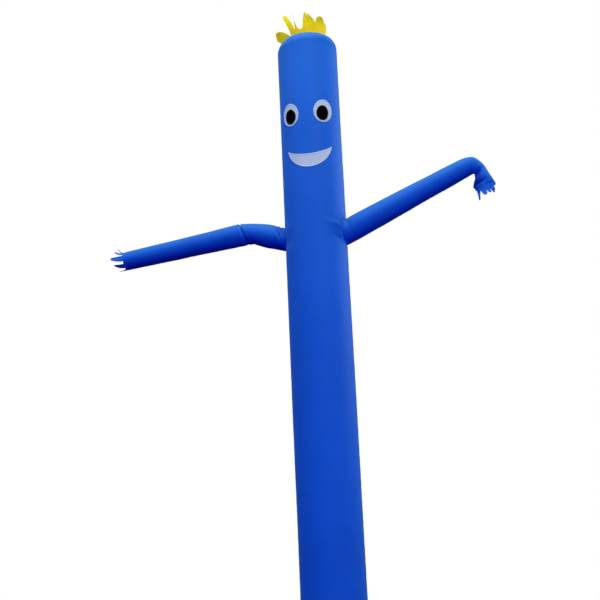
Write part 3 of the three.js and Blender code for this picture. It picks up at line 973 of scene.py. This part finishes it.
def makeFingers(name, node, sleeve, strips):
    # a narrow band past the sleeve's end, with the fingers' roots sunk into it
    end = rowAt(sleeve, len(sleeve.rows) - 1)
    slope = radians(end[2])
    side = sleeve.side
    outward = Vector((side * cos(slope), 0, -sin(slope)))
    up = Vector((side * sin(slope), 0, cos(slope)))
    front = Vector((0, -1, 0))
    bandHeight = fingerBand.height
    aways = [seamGap, seamGap + bandHeight / 2, seamGap + bandHeight]
    rows = []
    for away in aways:
        row = []
        for turn in ringOf(fingerBand.sides):
            inset = fingerBand.swell * ruffle((radians(turn) * 4, away * 60, 0), 1, 61)
            row.append(sleevePoint(sleeve, end, turn, inset) + outward * away)
        rows.append(row)
    pieces = [tubeMesh(name, rows, 2 * pi * end[3], aways, flip=side < 0)]
    for number, strip in enumerate(strips):
        turn = radians(strip.around)
        slant = Vector((cos(turn) / end[3], sin(turn) / end[4]))
        slant.rotate(Matrix.Rotation(radians(end[6]), 2))
        facing = up * slant.x + front * slant.y
        base = sleevePoint(sleeve, end, strip.around, 0)
        base += outward * (seamGap + bandHeight - stripWall.root)
        seed = number + 3 * side
        pieces.append(makeStrip("strip", base, outward, facing.normalized(), strip, end[3], seed))
    piece = joinStrips(name, pieces, blueRipstop, node)
    girth = 2 * pi * sqrt((end[3] ** 2 + end[4] ** 2) / 2)
    area = girth * bandHeight + stripArea(strips)
    return piece


def makeHair(name, node, strips):
    vent, shift = crownCap.vent, Vector((crownCap.shift, 0, 0))
    bandHeight, bandFlare = hairBand.height, hairBand.flare
    low = crownHigh.z + seamGap
    shares = sharesOf(hairBand.rows)
    rows = []
    for share in shares:
        row = []
        for place in ringOf(hairBand.sides):
            gather = hairBand.gather * (1 - 0.8 * share) * ruffle(ringPlace(place, share), 6, 71)
            radius = vent + bandFlare * share + gather
            row.append(onTube(place, radius, low + bandHeight * share) + shift)
        rows.append(row)
    up = [share * bandHeight - bandHeight for share in shares]
    pieces = [tubeMesh(name, rows, 2 * pi * vent, up)]
    slope = atan2(bandFlare, bandHeight)
    middle = onTube(0, 0, 0)
    for number, strip in enumerate(strips):
        base = onTube(strip.around, vent + bandFlare, low + bandHeight - stripWall.root)
        along = onTube(strip.around, sin(slope), cos(slope)) - middle
        facing = onTube(strip.around, 1, 0) - middle
        seed = number * 1.7
        pieces.append(makeStrip("lock", base + shift, along, facing, strip, vent + bandFlare, seed))
    piece = joinStrips(name, pieces, yellowRipstop, node)
    girth = 2 * pi * (vent + bandFlare / 2)
    area = girth * bandHeight + stripArea(strips)
    return piece


makeFingers("rightFingers", "fingers_right", rightSleeve, rightFingers)
makeFingers("leftFingers", "fingers_left", leftForeSleeve, leftFingers)
makeHair("hairFringe", "hair", hairLocks)
print("fingers and hair made")


# face: patches that lie on the front panel, with satin-stitched edges; arc is measured round
# the tube from the front, and outlines run anticlockwise as lengths across and up

patchCloth = Values(thickness=0.0008, lift=0.0012, nextLift=0.0026, rings=14, sides=96)
satin = Values(width=0.009, outside=0.001, rise=0.0011, ridge=0.18, pitch=0.0026)
# the ribbon's section: outer side, three on top, inner side and under, each a share of the width
# inwards and a share of the rise
satinSection = [(0, -0.6), (0.12, 0.75), (0.5, 1.0), (0.88, 0.75), (1.0, -0.4), (0.5, -0.8)]
eyeShape = Values(width=0.155, height=0.186, pupilWidth=0.098, pupilHeight=0.124, pupilRise=-0.017)
eyePlaces = named(("side", "arc", "height", "slope", "pupilArc"), [
    ("left", -0.132, 5.236, -0.17, 0.006),
    ("right", 0.140, 5.242, 0.15, -0.006),
])
mouthShape = Values(
    arc=0.016, height=4.947, slope=0.045, halfWidth=0.183, upperDip=0.060,
    lowerDip=0.166, fullness=0.7, columns=72, rows=16, sides=160,
)


def onFace(place, flat, lift):
    return trunkPoint(degrees((place[0] + flat[0]) / tubeRadius), place[1] + flat[1], lift)


def sloped(flat, slope):  # raised on the side towards +x
    return flat[0], flat[1] + slope * flat[0]


def ovalOutline(width, height, slope, sides):
    turns = [2 * pi * number / sides for number in range(sides)]
    round_ = [(width / 2 * cos(turn), height / 2 * sin(turn)) for turn in turns]
    return [sloped(flat, slope) for flat in round_]


def smileEdges(share):  # the lower and upper edge at a share of the way from left to right
    shape = mouthShape
    turn = pi * share
    across = -cos(turn)
    lower = -shape.lowerDip * sin(turn) ** (2 * shape.fullness)
    return across * shape.halfWidth, lower, shape.upperDip * (across * across - 1)


def smileOutline(sides):
    edges = [smileEdges(share) for share in sharesOf(sides)]
    lower = [(across, low) for across, low, _ in edges]
    outline = lower + [(across, high) for across, _, high in edges[-2:0:-1]]
    return [sloped(flat, mouthShape.slope) for flat in outline]


def polygonArea(outline):
    pairs = zip(outline, outline[1:] + outline[:1])
    return abs(sum(a[0] * b[1] - b[0] * a[1] for a, b in pairs)) / 2


def spread(outline):
    across, up = zip(*outline)
    return max(across) - min(across), max(up) - min(up)


def makePatch(name, flatRows, place, lift, material, closed):
    rows = [[onFace(place, flat, lift) for flat in row] for row in flatRows]
    columns = len(rows[0])
    piece = gridMesh(name, rows, lambda row, column: flatRows[row][column % columns], closed=closed)
    weld(piece, 0.00002)
    thicken(piece, patchCloth.thickness)
    piece.data.materials.append(material)
    return piece


def evenly(outline, pitch):  # the same outline with its places one pitch apart
    closedLine = [Vector(flat) for flat in outline + outline[:1]]
    total = sum((b - a).length for a, b in zip(closedLine, closedLine[1:]))
    count = 2 * round(total / pitch / 2)
    spaced, travelled = [], 0.0
    for start, end in zip(closedLine, closedLine[1:]):
        span = (end - start).length
        while len(spaced) < count and len(spaced) * total / count <= travelled + span:
            spaced.append(start.lerp(end, (len(spaced) * total / count - travelled) / span))
        travelled += span
    return spaced


def makeSatin(name, outline, place, lift, material):
    # a ridged ribbon of thread over the patch's edge, two rows to a stitch
    step = satin.pitch / 2
    line = evenly(outline, step)
    count = len(line)
    rows = []
    for number in range(count + 1):
        spot = line[number % count]
        heading = (line[(number + 2) % count] - line[number % count - 2]).normalized()
        inwards = Vector((-heading.y, heading.x))
        ridge = 1 + satin.ridge * (1 if number % 2 else -1)
        row = []
        for share, rise in satinSection:
            away = share * satin.width if share else -satin.outside
            up = satin.rise * rise * (ridge if rise > 0 else 1)
            row.append(onFace(place, spot + inwards * away, lift + up))
        rows.append(row)
    piece = gridMesh(
        name, rows, lambda row, column: (column * 0.002, row * step), closed=True, flip=True)
    weld(piece, 0.00001)
    piece.data.materials.append(material)
    return piece


def finishPatch(name, patch, edging, node, flat, area):
    piece = bind(join(name, [patch, edging]), node)
    return piece


def makeOval(name, node, size, slope, place, lift, cloth, edgeThread):
    outline = ovalOutline(*size, slope, patchCloth.sides)
    shares = [1 - share for share in sharesOf(patchCloth.rings)]
    flatRows = [[(x * share, y * share) for x, y in outline] for share in shares]
    patch = makePatch(name, flatRows, place, lift, cloth, True)
    edging = makeSatin("edging", outline, place, lift, edgeThread)
    return finishPatch(name, patch, edging, node, size, polygonArea(outline))


def makeEyes():
    shape = eyeShape
    for eye in eyePlaces:
        side = eye.side
        place = (eye.arc, eye.height)
        pupilPlace = (eye.arc + eye.pupilArc, eye.height + shape.pupilRise)
        size, pupilSize = (shape.width, shape.height), (shape.pupilWidth, shape.pupilHeight)
        makeOval(
            side + "Eye", "eye_" + side, size, eye.slope, place,
            patchCloth.lift, whiteRipstop, whiteThread)
        makeOval(
            side + "Pupil", "pupil_" + side, pupilSize, eye.slope, pupilPlace,
            patchCloth.nextLift, blackRipstop, blackThread)


def makeMouth():
    shape = mouthShape
    place = (shape.arc, shape.height)
    edges = [smileEdges(share) for share in sharesOf(shape.columns)]
    flatRows = []
    for share in sharesOf(shape.rows):
        row = [(across, low + (high - low) * share) for across, low, high in edges]
        flatRows.append([sloped(flat, shape.slope) for flat in row])
    outline = smileOutline(shape.sides)
    patch = makePatch("mouthPatch", flatRows, place, patchCloth.lift, whiteRipstop, False)
    edging = makeSatin("edging", outline, place, patchCloth.lift, whiteThread)
    size, area = spread(outline), polygonArea(outline)
    finishPatch("mouthPatch", patch, edging, "mouth", size, area)


makeEyes()
makeMouth()
print("face sewn on")


# seams: rows of stitches beside the side seams, round the hem and on both sides of the crown's
# seam

seamRows = Values(
    beside=0.0065,
    hem=0.052,
    hemGap=0.006,  # between the hem's two rows
    crown=0.0075,
    bottom=0.008,
    topMargin=0.012,
    spacing=0.006,
    turn=1.5,  # degrees between the places of a round row
)


def surfacePath(pointAt, shares):
    # places with the cloth's outward direction, from a point function of a running share
    places = [pointAt(share, 0.0) for share in shares]
    lifted = [pointAt(share, 0.002) for share in shares]
    return [(place, (up - place).normalized()) for place, up in zip(places, lifted)]


def makeStitches():
    shape = bmesh.new()
    values = seamRows
    heights = steps(values.bottom, trunkTop - values.topMargin, values.spacing)
    for side in (-90, 90):
        for beside in (-values.beside, values.beside):
            angle = side + degrees(beside / tubeRadius)
            path = surfacePath(lambda height, lift: trunkPoint(angle, height, lift), heights)
            stitchPath(shape, path)
    ring = steps(0, 360, values.turn)
    for height in (values.hem, values.hem - values.hemGap, trunkTop - values.crown):
        stitchPath(shape, surfacePath(lambda angle, lift: trunkPoint(angle, height, lift), ring))
    rise = values.crown / crownCap.rise

    def overCrown(angle, lift):
        place = crownPoint(angle, rise)
        return place + (onTube(angle, lift, 0) - onTube(angle, 0, 0))

    stitchPath(shape, surfacePath(overCrown, ring))
    piece = meshObject("seamStitches", shape)
    return finishPiece(piece, blueThread)


makeStitches()
print("stitches sewn")


# floor, backdrop, lights and camera

# mostly the floor's own even light, so that little of the lamps' tint shows on it
floorPaper = Values(size=60, grain=0.8, glow=0.92, glowShare=0.86)


def addFloor():
    values = floorPaper
    bpy.ops.mesh.primitive_plane_add(size=values.size, location=(axisX, 0, 0))
    floor = bpy.context.object
    floor.name = "studioFloor"
    material, board = newMaterial("palePaper")
    grain = board.noise(board.objectPlace(), values.grain, 2)
    colour = board.mix(grain, (0.80, 0.81, 0.83), (0.84, 0.85, 0.87))
    shader = board.node("BsdfDiffuse", {}, {0: colour})
    even = board.node("Emission", {}, {0: colour, 1: values.glow})
    evened = board.node("MixShader", {}, {0: values.glowShare, 1: shader, 2: even})
    board.node("OutputMaterial", {}, {"Surface": evened})
    floor.data.materials.append(material)
    floor.visible_diffuse = False  # its bounce would fill the arms' dark undersides
    floor.visible_glossy = False
    floor.visible_transmission = False


# the sky's colour by how high a direction points: 0 straight down, 0.5 level, 1 straight up
daylight = [
    (0.38, (0.0, 0.0, 0.03)),
    (0.52, (0.0, 0.01, 0.50)),
    (0.66, (0.03, 0.13, 1.06)),
    (0.84, (0.12, 0.60, 0.12)),
]
backdrop = (1.0, 1.0, 1.0)


def addDaylight():
    # green above, saturated blue at the sides and near black below; the camera sees white instead
    world = bpy.data.worlds.new("studio")
    bpy.context.scene.world = world
    world.use_nodes = True
    board = Board(world.node_tree)
    direction = board.node("TexCoord", {}, {})
    rise = board.split(direction)[2] * 0.5 + 0.5
    sky = board.node("ValToRGB", {"stops": daylight}, {0: rise})
    light = board.node("Background", {}, {0: sky, 1: 1.0})
    paper = board.node("Background", {}, {0: (*backdrop, 1), 1: 1.0})
    seen = board.node("LightPath", {}, {})
    shown = board.node("MixShader", {}, {0: seen, 1: light, 2: paper})
    board.node("OutputWorld", {}, {"Surface": shown})


# strongly tinted: yellow-green from above, paler from behind, blue from the front and the right
lampColumns = ("name", "place", "aim", "size", "power", "colour")
lamps = named(lampColumns, [
    ("keyLamp", (4.2, -6.0, 9.5), (0.0, 0.0, 4.8), 3.5, 450, (0.94, 1.0, 0.30)),
    ("topLamp", (0.0, -1.5, 10.5), (0.0, 0.0, 4.8), 3.0, 320, (1.0, 1.0, 0.42)),
    ("fillLamp", (-3.5, -2.4, 8.8), (-0.2, 0.0, 5.2), 2.5, 122, (1.0, 1.0, 0.66)),
    ("rimLamp", (5.0, 3.0, 6.5), (0.0, 0.0, 4.6), 3.0, 185, (0.95, 1.0, 0.85)),
    ("sideLamp", (6.0, -4.0, 3.5), (0.0, 0.0, 4.0), 3.0, 65, (0.5, 0.45, 1.0)),
    ("frontLamp", (0.5, -8.0, 3.0), (0.0, 0.0, 4.4), 3.0, 160, (0.1, 0.12, 1.0)),
])


def addLamps():
    for lamp in lamps:
        place, aim = (Vector(spot) + Vector((axisX, 0, 0)) for spot in (lamp.place, lamp.aim))
        turn = (aim - place).to_track_quat("-Z", "Y").to_euler()
        bpy.ops.object.light_add(type="AREA", location=place, rotation=turn)
        light = bpy.context.object
        light.name = lamp.name
        light.data.size = lamp.size
        light.data.energy = lamp.power
        light.data.color = lamp.colour


# where the camera stands from the tube's axis, in metres and degrees, and its lens in mm
cameraPlace = Values(
    distance=9.0217, azimuth=9.0, height=0.9702,
    heading=9.9069, pitch=17.5, roll=-2.5621, lens=76.647,
)


def addCamera():
    values = cameraPlace
    place = onTube(values.azimuth, values.distance, values.height)
    turn = Matrix.Rotation(radians(values.heading), 3, "Z")
    turn = turn @ Matrix.Rotation(radians(90 + values.pitch), 3, "X")
    turn = turn @ Matrix.Rotation(radians(values.roll), 3, "Z")
    bpy.ops.object.camera_add(location=place, rotation=turn.to_euler())
    camera = bpy.context.object
    camera.data.lens = values.lens
    camera.data.sensor_width = 36
    camera.data.clip_end = 200
    bpy.context.scene.camera = camera


addFloor()
addDaylight()
addLamps()
addCamera()
bpy.context.scene.view_settings.view_transform = "Standard"
print("studio ready")
